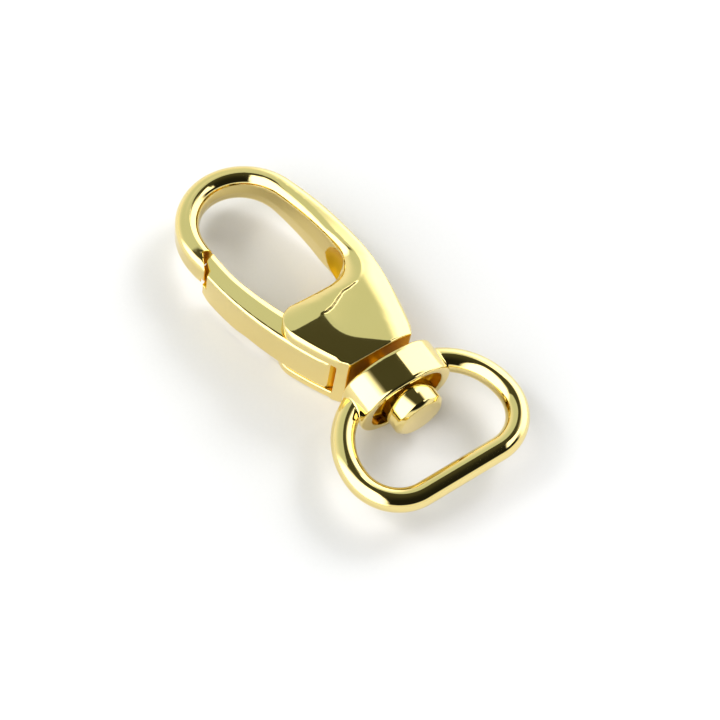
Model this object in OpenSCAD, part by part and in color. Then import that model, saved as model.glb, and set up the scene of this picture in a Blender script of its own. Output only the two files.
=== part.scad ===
// Push-gate swivel hook for a narrow strap, polished and plated zinc castings.
// The hook lies flat: +X runs along the swivel axis to the strap eye, +Y is the closed
// side of the loop, the gate is on -Y, +Z is up and the table is Z = 0.

/* [Strap eye] */
// Clear width inside the eye, which is the widest strap it takes
strap_w = 13; // [9:0.5:20]
// Diameter of the eye's round bar
wire_d = 2; // [1.6:0.1:2.8]
// Radius of the bend at each end of the bar, to the middle of the wire
bend_r = 3.8; // [2.5:0.1:4]
// Straight length of each side, between that bend and the shoulder
side_straight = 0.1; // [0.1:0.1:2]
// Distance from the barrel's front to the middle of the bar
bar_reach = 7.5; // [6.5:0.1:10]

/* [Swivel barrel] */
// Width of the oval barrel across the hook
barrel_w = 8.7; // [8:0.1:10]
// Height of the oval barrel
barrel_h = 6.3; // [6:0.1:6.5]
// Length of the barrel along the swivel axis
barrel_l = 2.9; // [2.4:0.1:4]
// Depth of the round recess that the post's head sits in
recess_l = 0.9; // [0.5:0.1:1.4]

/* [Swivel post] */
// Diameter of the button head
head_d = 5; // [4.4:0.1:5.4]
// How far the head stands out of the barrel
head_proud = 2; // [1:0.1:2.6]
// Chamfer round the head's end
head_chamfer = 0.35; // [0.1:0.05:0.6]
// Diameter of the neck that the barrel turns on
neck_d = 3.2; // [2.8:0.1:3.8]
// Diameter of the shoulder that keeps the barrel off the hook
collar_d = 4.2; // [4:0.1:5]
// Length of that shoulder
collar_l = 1; // [0.6:0.1:1.6]
// Diameter of the tail pressed into the hook
tail_d = 2.4; // [2:0.1:2.6]
// Length of the tail
tail_l = 3.2; // [2:0.1:3.4]

/* [Hook body] */
// Length from the shank's end face to the tip of the loop
body_l = 22; // [21:0.5:25]
// Thickness of the shank
body_t = 6.5; // [6.5:0.1:8]
// Thickness of the loop at its tip and along its nose
tip_t = 3.2; // [2.8:0.1:3.8]
// Outer radius of the loop's round end
tip_r = 5.8; // [5.6:0.1:6.4]
// How far the loop's middle lies to the gate side of the swivel axis
tip_shift = 2.35; // [1.8:0.05:2.6]
// Width of the loop's bar, seen from above
band_w = 2; // [1.7:0.05:2.2]
// Radius of the closed side's long outer curve
spine_r = 30; // [27:1:40]
// Radius of the gate side's long outer curve
gate_side_r = 30; // [27:1:40]
// Width of the shank's end face
end_w = 6.9; // [6.4:0.1:7.4]
// How far the end face's middle lies to the gate side of the swivel axis
end_shift = 0.35; // [0:0.05:0.5]
// Distance from the end face to the loop's opening
shank_l = 7; // [6.6:0.1:7.4]
// Width of the rolled edge between the shank's top and the opening
roll_w = 1.5; // [0.8:0.1:1.8]
// Height of that rolled edge
roll_h = 0.8; // [0.5:0.05:1]
// Radius of the rounded shank corner over the gate
lip_r = 2.2; // [1.6:0.1:2.6]
// Radius of the opening's corner beside the closed side
corner_r = 1.5; // [1:0.1:2]

/* [Gate] */
// Width of the gate's arm, seen from above
gate_w = 1.8; // [1.5:0.05:2]
// Height of the gate
gate_h = 3.9; // [3.2:0.1:4]
// Distance from the end face to the gate's tail
gate_tail = 0.75; // [0.7:0.05:1.1]
// Bevel along the gate's inner edges
gate_bevel = 0.5; // [0.2:0.05:0.7]
// Angle that the gate swings inwards
gate_open = 28; // [15:1:30]
// Distance from the end face to the nose's outer corner
nose_reach = 14; // [13.4:0.1:14.4]
// How much further back the nose's inner corner lies
nose_slant = 1.4; // [0.8:0.1:1.8]
// How far the nose's outer face stands back from the gate's
nose_draw = 0.5; // [0.2:0.05:0.6]

/* [Gate pin and spring] */
// Diameter of the gate's hinge pin
pin_d = 1.2; // [1:0.1:1.4]
// Distance from the pin's axis to the gate's outer face
pin_inset = 1.45; // [1.35:0.05:1.6]
// Solid metal left over the pin's upper end
pin_cover = 0.45; // [0.3:0.05:0.6]
// Outer diameter of the gate spring
spring_d = 1.7; // [1.5:0.05:1.8]
// Wire diameter of the gate spring
spring_wire = 0.28; // [0.2:0.02:0.32]
// Number of turns in the gate spring
spring_turns = 6; // [4:0.5:7]

/* [Fits] */
// Radial running clearance of the swivel neck and the gate pin
run_clear = 0.05; // [0.02:0.01:0.1]
// Clearance above and below the gate, and along the swivel
side_clear = 0.12; // [0.08:0.01:0.2]
// Clearance between the gate and the pocket it swings in
swing_clear = 0.25; // [0.15:0.05:0.4]
// Gap between the gate's tip and the nose
tip_gap = 0.4; // [0.25:0.05:0.5]
// Radial clearance of the head in its recess
head_clear = 0.4; // [0.2:0.05:0.45]
// Radial clearance of the gate spring in its hole
spring_clear = 0.12; // [0.08:0.02:0.16]

/* [Hidden] */
$fn = 96;
gold = "#d8c869";
pale_gold = "#e2d481";
steel = "#c9c9c4";
eps = 0.01;

// Plan geometry, measured from the shank's end face (x = 0) and the swivel axis (y = 0)
half_t = body_t / 2;
tip_c = [-(body_l - tip_r), -tip_shift];
end_low = [0, -end_w / 2 - end_shift];
end_high = [0, end_w / 2 - end_shift];
end_round = 0.4;
spine_c = inside_tangent(tip_c, tip_r, end_high, spine_r, -1);
gate_c = inside_tangent(tip_c, tip_r, end_low, gate_side_r, 1);
spine_join = bearing(tip_c - spine_c);
gate_join = bearing(tip_c - gate_c);
band_spine_r = spine_r - band_w;
band_gate_r = gate_side_r - band_w;

// Gate hinge: a boss round the pin, in a pocket whose back wall clears the gate when it is open
gate_in_r = gate_side_r - gate_w;
boss_setback = 0.1;
boss_r = pin_inset - boss_setback;
pin_c = gate_c + (gate_side_r - pin_inset) * unit(gate_bearing(-gate_tail - pin_inset / 2, gate_side_r));
pin_top = half_t - pin_cover;
pin_sink = 0.1;
pocket_r = boss_r + swing_clear;
pocket_turn = bearing(pin_c - gate_c) - 90 - gate_open;
slot_h = gate_h + 2 * side_clear;
slot_end = -gate_tail + swing_clear;

// Gate spring, between a seat in the gate and a blind hole in the shank
spring_wall = 0.7;
spring_seat = 0.45;
spring_hole_r = spring_d / 2 + spring_clear;
spring_x = -tail_l - spring_wall - spring_hole_r;
spring_floor = tail_d / 2;
spring_from = gate_c[1] - sqrt(pow(gate_in_r, 2) - pow(spring_x - gate_c[0], 2)) - spring_seat;

// Swivel stations along X
barrel_back = collar_l + side_clear;
barrel_front = barrel_back + barrel_l;
recess_floor = barrel_front - recess_l;
head_back = recess_floor + side_clear;
head_front = barrel_front + head_proud;
recess_d = head_d + 2 * head_clear;

// Strap eye: each side leaves the barrel at its root, bends out along the shoulder and in to the bar
bar_x = barrel_front + bar_reach;
eye_half = (strap_w + wire_d) / 2;
bar_half = eye_half - bend_r;
bend_x = bar_x - bend_r;
shoulder_x = bend_x - side_straight;
root_sink = 0.7;
root = [barrel_back + barrel_l / 3, barrel_w / 2 - root_sink];
root_in = eye_half - root[1];
shoulder_r = (pow(shoulder_x - root[0], 2) + pow(root_in, 2)) / (2 * root_in);
shoulder_turn = bearing(root - [shoulder_x, eye_half - shoulder_r]) - 90;

// The finished part is centred on its length and stands on Z = 0
shift_x = (body_l - bar_x - wire_d / 2) / 2;

// Direction of a plan vector, from 0 to 360 degrees
function bearing(v) = (atan2(v[1], v[0]) + 360) % 360;
function unit(a) = [cos(a), sin(a)];

// Centre of a circle of radius big that holds circle (c, r) inside, touching it, and passes through p
function inside_tangent(c, r, p, big, side) =
    let (v = p - c, l = norm(v), a = big - r)
    let (t = (a * a - big * big + l * l) / (2 * l), h = sqrt(max(a * a - t * t, 0)))
    c + t * v / l + side * h * [-v[1], v[0]] / l;

// Bearings at which the two long curves, or curves parallel to them, reach a given x
function gate_bearing(x, r) = 360 - acos((x - gate_c[0]) / r);
function spine_bearing(x, r) = acos((x - spine_c[0]) / r);

// Points along an arc or a straight line, without the first one
function arc(c, r, a0, a1, n) = [for (k = [1:n]) c + r * unit(a0 + (a1 - a0) * k / n)];
function line(p, q, n) = [for (k = [1:n]) p + (q - p) * k / n];
function share(t) = max(0, min(1, t));
function mix(a, b, t) = a + (b - a) * share(t);

// Stations along the casting: nose, tip, closed side, shank's side, end face, gate side, lip
nose_n = 6;
tip_n = 24;
spine_n = 14;
shank_n = 6;
lip_n = 6;
ring_n = nose_n + tip_n + spine_n + 1;
end_n = ring_n + shank_n;
side_n = end_n + shank_n + 2;

// Nose end: the outer corner is drawn in and lies ahead of the inner one
nose_out = gate_bearing(-nose_reach, gate_side_r);
nose_in = gate_bearing(-nose_reach - nose_slant, band_gate_r);

// Shank corner over the gate: an arc that touches the gate side's curve and the opening's end
lip_x = lip_r - shank_l;
lip_c = [lip_x, gate_c[1] - sqrt(pow(gate_side_r - lip_r, 2) - pow(lip_x - gate_c[0], 2))];
lip_from = bearing(lip_c - gate_c);
lip_to = 190;
corner_x = -shank_l - corner_r;
spine_turn = spine_bearing(corner_x, band_spine_r);
corner_c = spine_c + (band_spine_r - corner_r) * unit(spine_bearing(corner_x, band_spine_r - corner_r));
corner_from = bearing(spine_c + band_spine_r * unit(spine_turn) - corner_c);
shank_turn = spine_bearing(-shank_l, spine_r);
end_turn = spine_bearing(-end_round, spine_r);
low_turn = gate_bearing(-end_round, gate_side_r);

// Outer outline from the nose, round the tip, along the closed side, round the shank to the lip
outer_path = concat(
    [for (k = [0:nose_n])
        let (t = k / nose_n, a = nose_out + (gate_join - nose_out) * t)
        gate_c + (gate_side_r - nose_draw * pow(1 - t, 2)) * unit(a)],
    arc(tip_c, tip_r, gate_join, spine_join, tip_n),
    arc(spine_c, spine_r, spine_join, shank_turn, spine_n),
    arc(spine_c, spine_r, shank_turn, end_turn, shank_n),
    [end_high - [0, end_round]],
    line(end_high - [0, end_round], end_low + [0, end_round], shank_n),
    [gate_c + gate_side_r * unit(low_turn)],
    arc(gate_c, gate_side_r, low_turn, lip_from, shank_n),
    arc(lip_c, lip_r, lip_from, lip_to, lip_n)
);

// Opening's outline, point for point beside the outer one
wall_high = [-shank_l, corner_c[1] - corner_r / 2];
wall_mid = [-shank_l, mix(corner_c[1], lip_c[1], 1 / 2)];
wall_low = [-shank_l, mix(corner_c[1], lip_c[1], 3 / 4)];
wall_end = [-shank_l, lip_c[1] + lip_r / 6];
inner_path = concat(
    [for (k = [0:nose_n]) gate_c + band_gate_r * unit(nose_in + (gate_join - nose_in) * k / nose_n)],
    arc(tip_c, tip_r - band_w, gate_join, spine_join, tip_n),
    arc(spine_c, band_spine_r, spine_join, spine_turn, spine_n),
    arc(corner_c, corner_r, corner_from, 0, shank_n),
    [wall_high],
    line(wall_high, wall_mid, shank_n + 1),
    line(wall_mid, wall_low, shank_n),
    line(wall_low, wall_end, lip_n)
);

// The casting keeps its thickness along the shank and thins down the closed side to the tip and nose
wedge_x = 1 - shank_l;
function half_height(k, x) =
    k < nose_n + tip_n / 2 ? tip_t / 2
    : k >= end_n ? half_t
    : mix(half_t, tip_t / 2, (wedge_x - x) / (wedge_x + body_l));

// Edge rounding at each station: width in plan, then height
edge_flat = 0.05;
ring_edge = [band_w / 2 - edge_flat, 1.15];
spine_edge = [1.1, 0.8];
end_edge = [0.25, 0.25];
side_edge = [0.8, 0.55];
roll_edge = [roll_w, roll_h];
blend_n = 10;
function outer_edge(k) =
    k < ring_n ? mix(ring_edge, spine_edge, (k - ring_n) / blend_n + 1)
    : k <= end_n ? mix(spine_edge, end_edge, k - end_n + 1)
    : k < side_n ? end_edge
    : side_edge;
function inner_edge(k) = mix(ring_edge, roll_edge, (k - ring_n) / blend_n + 0.5);

// Top of the rolled edge beside the opening, which the lip's sections stay under
function roll_top(k, x) =
    let (t = k < end_n ? 1 : share((x + shank_l) / roll_w))
    half_t - roll_h * (1 - sqrt(1 - pow(1 - t, 2)));

// Quarter of a rounded edge of station k at plan point p, turned inwards along d
function rounded(k, p, d, edge, h, up, from_side) =
    [for (s = [0:round_n])
        let (a = 90 * (from_side ? s : round_n - s) / round_n)
        let (q = p + d * edge[0] * (1 - cos(a)))
        [q[0], q[1], up * min(h - edge[1] * (1 - sin(a)), roll_top(k, q[0]))]];
round_n = 4;

// Closed cross-section of the casting between an outer and an inner point
function section(k) =
    let (p = outer_path[k], q = inner_path[k], h = half_height(k, p[0]))
    let (d = (q - p) / norm(q - p), room = (norm(q - p) - edge_flat) / 2)
    let (e = outer_edge(k), f = inner_edge(k))
    let (ep = [min(e[0], room), min(e[1], h)], eq = [min(f[0], room), min(f[1], h)])
    concat(rounded(k, p, d, ep, h, -1, false), rounded(k, p, d, ep, h, 1, true),
           rounded(k, q, -d, eq, h, 1, false), rounded(k, q, -d, eq, h, -1, true));

// One closed skin through a row of rings of points, capped at both ends
module skin(rings) {
    m = len(rings[0]);
    n = len(rings);
    sides = [for (k = [0:n - 2], j = [0:m - 1], half = [0, 1])
        let (a = k * m + j, b = k * m + (j + 1) % m)
        half == 0 ? [a, a + m, b + m] : [a, b + m, b]];
    caps = [[for (j = [0:m - 1]) j], [for (j = [0:m - 1]) (n - 1) * m + m - 1 - j]];
    polyhedron([for (r = rings, p = r) p], concat(sides, caps), 10);
}

// Moves a piece from the swivel axis to its place in the finished part
module place() {
    translate([shift_x, 0, half_t])
        children();
}

// Plan of the pocket that the gate swings in, from its boss out to the opening and the gate side
module gate_pocket() {
    wall = pin_c + pocket_r * unit(pocket_turn - 90);
    mouth = wall + shank_l * unit(pocket_turn);
    translate(pin_c)
        circle(r = pocket_r);
    polygon([wall, mouth, [mouth[0], -body_l], [slot_end, -body_l], [slot_end, pin_c[1]]]);
}

module hook_body() {
    place()
        color(gold)
            difference() {
                skin([for (k = [0:len(outer_path) - 1]) section(k)]);
                translate([0, 0, -slot_h / 2])
                    linear_extrude(slot_h)
                        gate_pocket();
                translate([pin_c[0], pin_c[1], -body_t])
                    cylinder(d = pin_d, h = pin_top + body_t);
                rotate([0, -90, 0])
                    translate([0, 0, -collar_l])
                        cylinder(d = tail_d, h = tail_l + collar_l);
                translate([spring_x, pin_c[1], 0])
                    rotate([-90, 0, 0])
                        cylinder(r = spring_hole_r, h = spring_floor - pin_c[1]);
            }
}

// Point on the line of the gate's slanted tip, tip_gap behind the nose's end
function gate_tip(r) =
    let (a = gate_c + gate_side_r * unit(nose_out), b = gate_c + band_gate_r * unit(nose_in))
    let (v = (b - a) / norm(b - a))
    a + (b - a) * (gate_side_r - r) / band_w + tip_gap * [v[1], -v[0]];

// Plan of the gate: an arm along the gate side's curve and a boss round the pin
module gate_plan() {
    intersection() {
        translate(gate_c)
            difference() {
                circle(r = gate_side_r);
                circle(r = gate_in_r);
            }
        polygon([
            gate_tip(gate_side_r + gate_w),
            gate_tip(gate_in_r - gate_w),
            pin_c + [0, boss_r],
            [-gate_tail, pin_c[1]],
            [-gate_tail, -body_l]
        ]);
    }
    intersection() {
        translate(pin_c)
            circle(r = boss_r);
        translate(gate_c)
            circle(r = gate_side_r);
    }
}

module gate() {
    place()
        color(pale_gold)
            difference() {
                translate([0, 0, -gate_h / 2])
                    linear_extrude(gate_h)
                        gate_plan();
                translate([pin_c[0], pin_c[1], -gate_h])
                    cylinder(r = pin_d / 2 + run_clear, h = 2 * gate_h);
                translate([spring_x, spring_from, 0])
                    rotate([-90, 0, 0])
                        cylinder(r = spring_hole_r, h = 2 * spring_seat);
                for (side = [0, 1])
                    mirror([0, 0, side])
                        translate([gate_c[0], gate_c[1], 0])
                            rotate_extrude()
                                polygon([
                                    [gate_in_r - eps, gate_h / 2 - gate_bevel],
                                    [gate_in_r + gate_bevel, gate_h / 2 + eps],
                                    [gate_in_r - eps, gate_h / 2 + eps]
                                ]);
            }
}

module gate_pin() {
    place()
        color(steel)
            translate([pin_c[0], pin_c[1], pin_sink - half_t])
                cylinder(d = pin_d, h = pin_top + half_t - pin_sink);
}

// Spring path: a round coil along Y, whose ends lie against the gate and the blind hole
spring_r = (spring_d - spring_wire) / 2;
spring_a = spring_from + spring_wire / 2 + eps;
spring_b = spring_floor - spring_wire / 2 - eps;
curl_rings = 8;
wire_sides = 6;
spring_n = spring_turns * curl_rings;
function coil(k) =
    let (t = k / spring_n, a = 360 * spring_turns * t)
    [spring_x + spring_r * cos(a), spring_a + (spring_b - spring_a) * t, spring_r * sin(a)];

// Ring of points round the wire at step k, square to the coil
function coil_ring(k) =
    let (p = coil(k), q = coil(k + eps) - coil(k - eps), t = q / norm(q))
    let (out = [p[0] - spring_x, 0, p[2]] / spring_r, up = cross(t, out))
    [for (j = [0:wire_sides - 1])
        p + spring_wire / 2 * (cos(360 * j / wire_sides) * out + sin(360 * j / wire_sides) * up)];

// Least gap between a point of the coil and the next turn beside it
coil_gap = min([for (k = [0:spring_n - curl_rings], m = [curl_rings - 2:curl_rings + 2])
    if (k + m <= spring_n) norm(coil(k) - coil(k + m))]) - spring_wire;
echo(spring_gap_to_itself = coil_gap);

module gate_spring() {
    place()
        color(steel)
            skin([for (k = [0:spring_n]) coil_ring(k)]);
}

module swivel_post() {
    place()
        color(pale_gold)
            rotate([0, 90, 0])
                rotate_extrude()
                    polygon([
                        [0, -tail_l],
                        [tail_d / 2, -tail_l],
                        [tail_d / 2, 0],
                        [collar_d / 2, 0],
                        [collar_d / 2, collar_l],
                        [neck_d / 2, collar_l],
                        [neck_d / 2, head_back],
                        [head_d / 2, head_back],
                        [head_d / 2, head_front - head_chamfer],
                        [head_d / 2 - head_chamfer, head_front],
                        [0, head_front]
                    ]);
}

// Oval end view of the barrel: two half rounds and the flat between them
module barrel_plan() {
    flat = barrel_w - barrel_h;
    square([flat, barrel_h], center = true);
    for (side = [-1, 1])
        translate([side * flat / 2, 0])
            circle(d = barrel_h);
}

// Round wire bent through an angle about a centre in plan, starting along +Y from start degrees
module bent_wire(c, r, start, angle) {
    translate(c)
        rotate([0, 0, start])
            rotate_extrude(angle = angle)
                translate([r, 0])
                    circle(d = wire_d);
}

// One side of the eye: the bend at the bar, the straight side and the shoulder that runs into the barrel
module eye_side() {
    bent_wire([bend_x, bar_half], bend_r, 0, 90);
    translate([shoulder_x, eye_half, 0])
        rotate([0, 90, 0])
            cylinder(d = wire_d, h = side_straight);
    bent_wire([shoulder_x, eye_half - shoulder_r], shoulder_r, 90, shoulder_turn);
}

module swivel_eye() {
    place()
        color(gold)
            difference() {
                union() {
                    translate([barrel_back, 0, 0])
                        rotate([90, 0, 90])
                            linear_extrude(barrel_l)
                                barrel_plan();
                    translate([bar_x, bar_half, 0])
                        rotate([90, 0, 0])
                            cylinder(d = wire_d, h = 2 * bar_half);
                    for (side = [0, 1])
                        mirror([0, side, 0])
                            eye_side();
                }
                rotate([0, 90, 0])
                    cylinder(r = neck_d / 2 + run_clear, h = barrel_front);
                translate([recess_floor, 0, 0])
                    rotate([0, 90, 0])
                        cylinder(d = recess_d, h = 2 * recess_l);
            }
}

hook_body();
gate();
gate_pin();
gate_spring();
swivel_post();
swivel_eye();
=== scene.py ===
# %% [markdown]
# # A small swivel hook in polished gold plate
# The real object is strap hardware: a die-cast hook with a spring gate, a post pressed into its end, and
# a wire eye that turns on that post. Every piece here replaces the plain CAD solid of the same part, and
# keeps its place, so the joints of the CAD model move these pieces as well.

# %% The frame
import math

import bmesh
import bpy
from mathutils import Matrix, Vector


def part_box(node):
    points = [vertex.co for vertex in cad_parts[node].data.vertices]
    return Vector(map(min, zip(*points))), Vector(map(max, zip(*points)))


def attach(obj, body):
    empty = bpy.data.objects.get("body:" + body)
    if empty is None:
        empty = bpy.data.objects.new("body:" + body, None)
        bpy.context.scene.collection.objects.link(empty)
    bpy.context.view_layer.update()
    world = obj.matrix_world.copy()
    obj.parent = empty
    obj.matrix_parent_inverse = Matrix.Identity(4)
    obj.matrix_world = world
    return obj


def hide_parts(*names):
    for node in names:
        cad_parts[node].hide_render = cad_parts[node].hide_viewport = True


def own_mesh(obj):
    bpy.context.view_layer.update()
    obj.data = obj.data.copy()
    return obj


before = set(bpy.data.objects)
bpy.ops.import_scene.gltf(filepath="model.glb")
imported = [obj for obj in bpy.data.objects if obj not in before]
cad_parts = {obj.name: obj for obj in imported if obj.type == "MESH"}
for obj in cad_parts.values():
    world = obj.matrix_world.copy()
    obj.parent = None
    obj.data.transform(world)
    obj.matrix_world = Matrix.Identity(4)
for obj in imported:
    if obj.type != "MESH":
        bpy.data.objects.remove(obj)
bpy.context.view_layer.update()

# %% [markdown]
# ## Working in millimetres
# Blender's remesher has a smallest step of 0.1 mm when a scene is in metres, which is too coarse for a
# part that is 35 mm long. So each piece is modelled at 1000 times its size, with its numbers in
# millimetres, and is scaled down once, as it is put in its place. All numbers are measured from the
# shank's end face, where X is zero, and from the swivel axis, where Y and Z are zero.

# %% Workbench
MM = 0.001
hook_lo, hook_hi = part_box("hook_body")
HALF_T = (hook_hi.z - hook_lo.z) / 2 / MM
BODY_L = (hook_hi.x - hook_lo.x) / MM
BENCH_TO_PART = Matrix.Translation((hook_hi.x, 0, (hook_lo.z + hook_hi.z) / 2)) @ Matrix.Scale(MM, 4)
print("shank thickness", round(2 * HALF_T, 3), "mm, hook length", round(BODY_L, 3), "mm")

# %% [markdown]
# ## Colours and nodes
# Colours are picked as sRGB hex values, as in a paint program, but shaders work in linear light, so one
# function converts them. A material could be clicked together in the node editor. In a script, one small
# function that adds a node with its settings and links keeps each material to a few lines.


# %% Colours and nodes
def linear(hex_colour):
    """sRGB hex to the linear colour that shaders work with."""
    parts = [int(hex_colour[i:i + 2], 16) / 255 for i in (0, 2, 4)]
    return tuple(c / 12.92 if c <= 0.04045 else ((c + 0.055) / 1.055) ** 2.4 for c in parts) + (1.0,)


def add_node(tree, kind, settings=None, **inputs):
    """Adds a node; inputs are values or sockets, with spaces in their names as underscores."""
    node = tree.nodes.new(kind)
    for key, value in (settings or {}).items():
        setattr(node, key, value)
    for key, value in inputs.items():
        found = [s for s in node.inputs if s.name == key.replace("_", " ") and s.enabled]
        if isinstance(value, bpy.types.NodeSocket):
            tree.links.new(value, found[0])
        else:
            found[0].default_value = value
    return node


def result(node):
    """The output that a node's settings leave in use."""
    return next(socket for socket in node.outputs if socket.enabled)


def new_material(name):
    """Makes a material, and hands over its node tree and its main shader as well."""
    material = bpy.data.materials.new(name)
    material.use_nodes = True
    tree = material.node_tree
    return material, tree, tree.nodes["Principled BSDF"]


print("half grey, 808080, is", round(linear("808080")[0], 3), "in linear light")

# %% [markdown]
# ## Gold plate
# The castings are zinc, tumbled, copper and nickel plated, and flashed with a thin pale gold that stays a
# mirror. The colour of a metal is the colour that it gives a reflection. An even yellow would do, but it
# looks computed: a real casting is never quite flat, its polish leaves faint lines and its plating varies
# a little, so a noise pattern gives each of these. The recesses are rougher, and painted a deeper amber
# as painted shade, for their shadow and the gold they mirror. Each piece marks them in an attribute.

# %% Gold plate
# To the eye it is a pale yellow mirror whose reflections waver slightly
PLATING_MM, CASTING_WAVE_MM, CASTING_WAVE_H = 4, 2.5, 0.004
# Real polishing lines are finer, and are drawn at this width so that they can show
POLISH_LINE_MM = 0.12
gold_plate, tree, shader = new_material("polished_gold_plate")
where = add_node(tree, "ShaderNodeTexCoord").outputs["Object"]
painted_recess_shade = add_node(tree, "ShaderNodeAttribute", {"attribute_name": "painted_recess_shade"}).outputs["Fac"]
plating = add_node(tree, "ShaderNodeTexNoise", Vector=where, Scale=1 / (PLATING_MM * MM), Detail=2.0)
tint = add_node(tree, "ShaderNodeMix", {"data_type": "RGBA"}, Factor=plating.outputs["Fac"],
                A=linear("EFD98F"), B=linear("F2DF9B"))
# Painted shade: recesses turn a deep amber, for their shadow and the gold they mirror
tint = add_node(tree, "ShaderNodeMix", {"data_type": "RGBA"}, Factor=painted_recess_shade,
                A=result(tint), B=linear("E4B624"))
tree.links.new(result(tint), shader.inputs["Base Color"])
lines = add_node(tree, "ShaderNodeTexNoise", Vector=where, Scale=1 / (POLISH_LINE_MM * MM), Detail=3.0)
haze = add_node(tree, "ShaderNodeMapRange", Value=lines.outputs["Fac"], To_Min=0.03, To_Max=0.07)
haze = add_node(tree, "ShaderNodeMix", Factor=painted_recess_shade, A=haze.outputs["Result"], B=0.35)
tree.links.new(result(haze), shader.inputs["Roughness"])
wave = add_node(tree, "ShaderNodeTexNoise", Vector=where, Scale=1 / (CASTING_WAVE_MM * MM), Detail=1.0)
bump = add_node(tree, "ShaderNodeBump", Strength=1.0, Distance=CASTING_WAVE_H * MM,
                Height=wave.outputs["Fac"])
tree.links.new(bump.outputs["Normal"], shader.inputs["Normal"])
shader.inputs["Metallic"].default_value = 1.0
print("gold plate:", len(tree.nodes), "nodes")

# %% [markdown]
# ## Hook casting
# The hook is one casting: a nose, a round tip, a closed side and a thick shank. Its plan is a row of arcs
# that touch each other, and its thickness tapers from the shank to the tip. A bevelled plate would give
# one edge all round, but here the rounding changes from a nearly round bar at the tip to a crisp end
# face. So the casting is lofted over many stations, and the first step is to find the centres of its
# arcs.

# %% Plan of the hook
TIP_R, TIP_SHIFT, SIDE_R = 5.8, 2.35, 30.0
END_LOW, END_HIGH = Vector((0, -3.8)), Vector((0, 3.1))
TIP_C = Vector((TIP_R - BODY_L, -TIP_SHIFT))


def unit(angle):
    return Vector((math.cos(math.radians(angle)), math.sin(math.radians(angle))))


def bearing(v):
    return math.degrees(math.atan2(v.y, v.x)) % 360


def touching_arc(point, side):
    """Centre of the long arc that passes through point and touches the tip's circle."""
    v = point - TIP_C
    reach = SIDE_R - TIP_R
    along = (reach ** 2 - SIDE_R ** 2 + v.length_squared) / (2 * v.length)
    across = side * math.sqrt(reach ** 2 - along ** 2)
    return TIP_C + (along * v + across * Vector((-v.y, v.x))) / v.length


SPINE_C = touching_arc(END_HIGH, -1)
GATE_C = touching_arc(END_LOW, 1)
print("closed side's centre", [round(c, 3) for c in SPINE_C])
print("gate side's centre", [round(c, 3) for c in GATE_C])

# %% [markdown]
# ### Stations
# Each station of the loft is a pair of points: one on the casting's outer line and the one across from it
# on the inner line. They run from the nose round the tip, along the closed side, round the shank's end
# and back to the lip over the gate. They could be drawn by hand, but arcs and straight lines with a
# number of points each keep the curves true.

# %% Outer line
NOSE_N, TIP_N, SPINE_N, SHANK_N, LIP_N = 30, 100, 70, 44, 36
NOSE_REACH, NOSE_DRAW, SHANK_L = 13.2, 0.5, 7.0
END_ROUND, END_PROUD = 0.4, 0.35
LIP_R, LIP_TURN = 2.2, 190


def spine_bearing(x, radius):
    """Where a circle round the closed side's centre has this x."""
    return math.degrees(math.acos((x - SPINE_C.x) / radius))


def gate_bearing(x, radius):
    """Where a circle round the gate side's centre has this x."""
    return 360 - math.degrees(math.acos((x - GATE_C.x) / radius))


def arc(centre, radius, start, stop, count):
    return [centre + radius * unit(start + (stop - start) * k / count) for k in range(1, count + 1)]


def straight(p, q, count):
    return [p.lerp(q, k / count) for k in range(1, count + 1)]


spine_join, gate_join = bearing(TIP_C - SPINE_C), bearing(TIP_C - GATE_C)
nose_out = gate_bearing(-NOSE_REACH, SIDE_R)
shank_turn, end_turn = spine_bearing(-SHANK_L, SIDE_R), spine_bearing(-END_ROUND, SIDE_R)
low_turn = gate_bearing(-END_ROUND, SIDE_R)
end_top = END_HIGH + Vector((END_PROUD, -END_ROUND))
end_bottom = END_LOW + Vector((END_PROUD, END_ROUND))
lip_x = LIP_R - SHANK_L
LIP_C = Vector((lip_x, GATE_C.y - math.sqrt((SIDE_R - LIP_R) ** 2 - (lip_x - GATE_C.x) ** 2)))
lip_from = bearing(LIP_C - GATE_C)

outer = []
for k in range(NOSE_N + 1):
    drawn = NOSE_DRAW * (1 - k / NOSE_N) ** 2
    outer.append(GATE_C + (SIDE_R - drawn) * unit(nose_out + (gate_join - nose_out) * k / NOSE_N))
outer += arc(TIP_C, TIP_R, gate_join, spine_join, TIP_N)
outer += arc(SPINE_C, SIDE_R, spine_join, shank_turn, SPINE_N)
outer += arc(SPINE_C, SIDE_R, shank_turn, end_turn, SHANK_N)
outer += [end_top] + straight(end_top, end_bottom, SHANK_N)
outer += [GATE_C + SIDE_R * unit(low_turn)] + arc(GATE_C, SIDE_R, low_turn, lip_from, SHANK_N)
outer += arc(LIP_C, LIP_R, lip_from, LIP_TURN, LIP_N)
print("outer line:", len(outer), "points")

# %% Inner line
BAND_W, NOSE_SLANT, SPINE_WIDE, CORNER_R = 2.0, 1.4, 0.25, 2.9
in_r = SIDE_R - BAND_W
nose_in = gate_bearing(-NOSE_REACH - NOSE_SLANT, in_r)
corner_away = in_r - SPINE_WIDE - CORNER_R
spine_turn = spine_bearing(-SHANK_L - CORNER_R, corner_away)
CORNER_C = SPINE_C + corner_away * unit(spine_turn)
# Four marks down the shank's wall, from the corner of the opening to the lip
wall_y = [CORNER_C.y - CORNER_R / 2, (CORNER_C.y + LIP_C.y) / 2,
          (CORNER_C.y + 3 * LIP_C.y) / 4, LIP_C.y + LIP_R / 6]
wall = [Vector((-SHANK_L, y)) for y in wall_y]

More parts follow.
